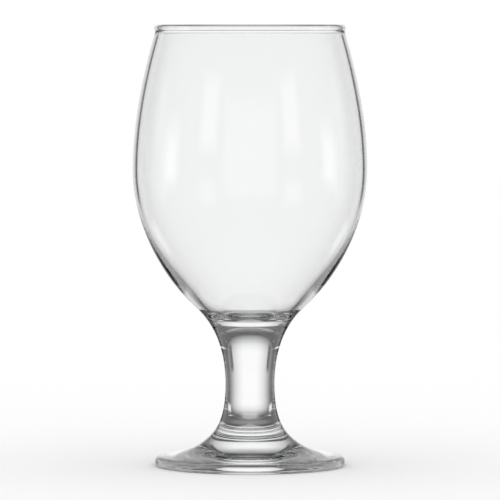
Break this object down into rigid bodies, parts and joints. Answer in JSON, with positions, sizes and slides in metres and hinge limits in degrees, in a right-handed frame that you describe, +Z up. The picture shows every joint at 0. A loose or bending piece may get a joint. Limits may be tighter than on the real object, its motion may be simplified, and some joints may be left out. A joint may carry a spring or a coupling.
{
  "type": "stemmed goblet",
  "caption": "Clear glass goblet with a tulip bowl, a beaded rim, a short waisted stem and a round foot with a rolled edge.",
  "frame": {"origin": "centre of the plane that the foot stands on", "axes": "+Z up, along the axis that every piece is turned about; X and Y are level and alike"},
  "size_m": [0.0824, 0.0824, 0.155],
  "materials": {
    "bowl_glass": "fire polished, clear",
    "stem_glass": "pressed and fire polished, clear, with faint mould ripples",
    "foot_glass": "pressed and fire polished, clear"
  },
  "bodies": {
    "root": {"bowl": "bowl_glass", "stem": "stem_glass", "foot": "foot_glass"}
  },
  "joints": []
}
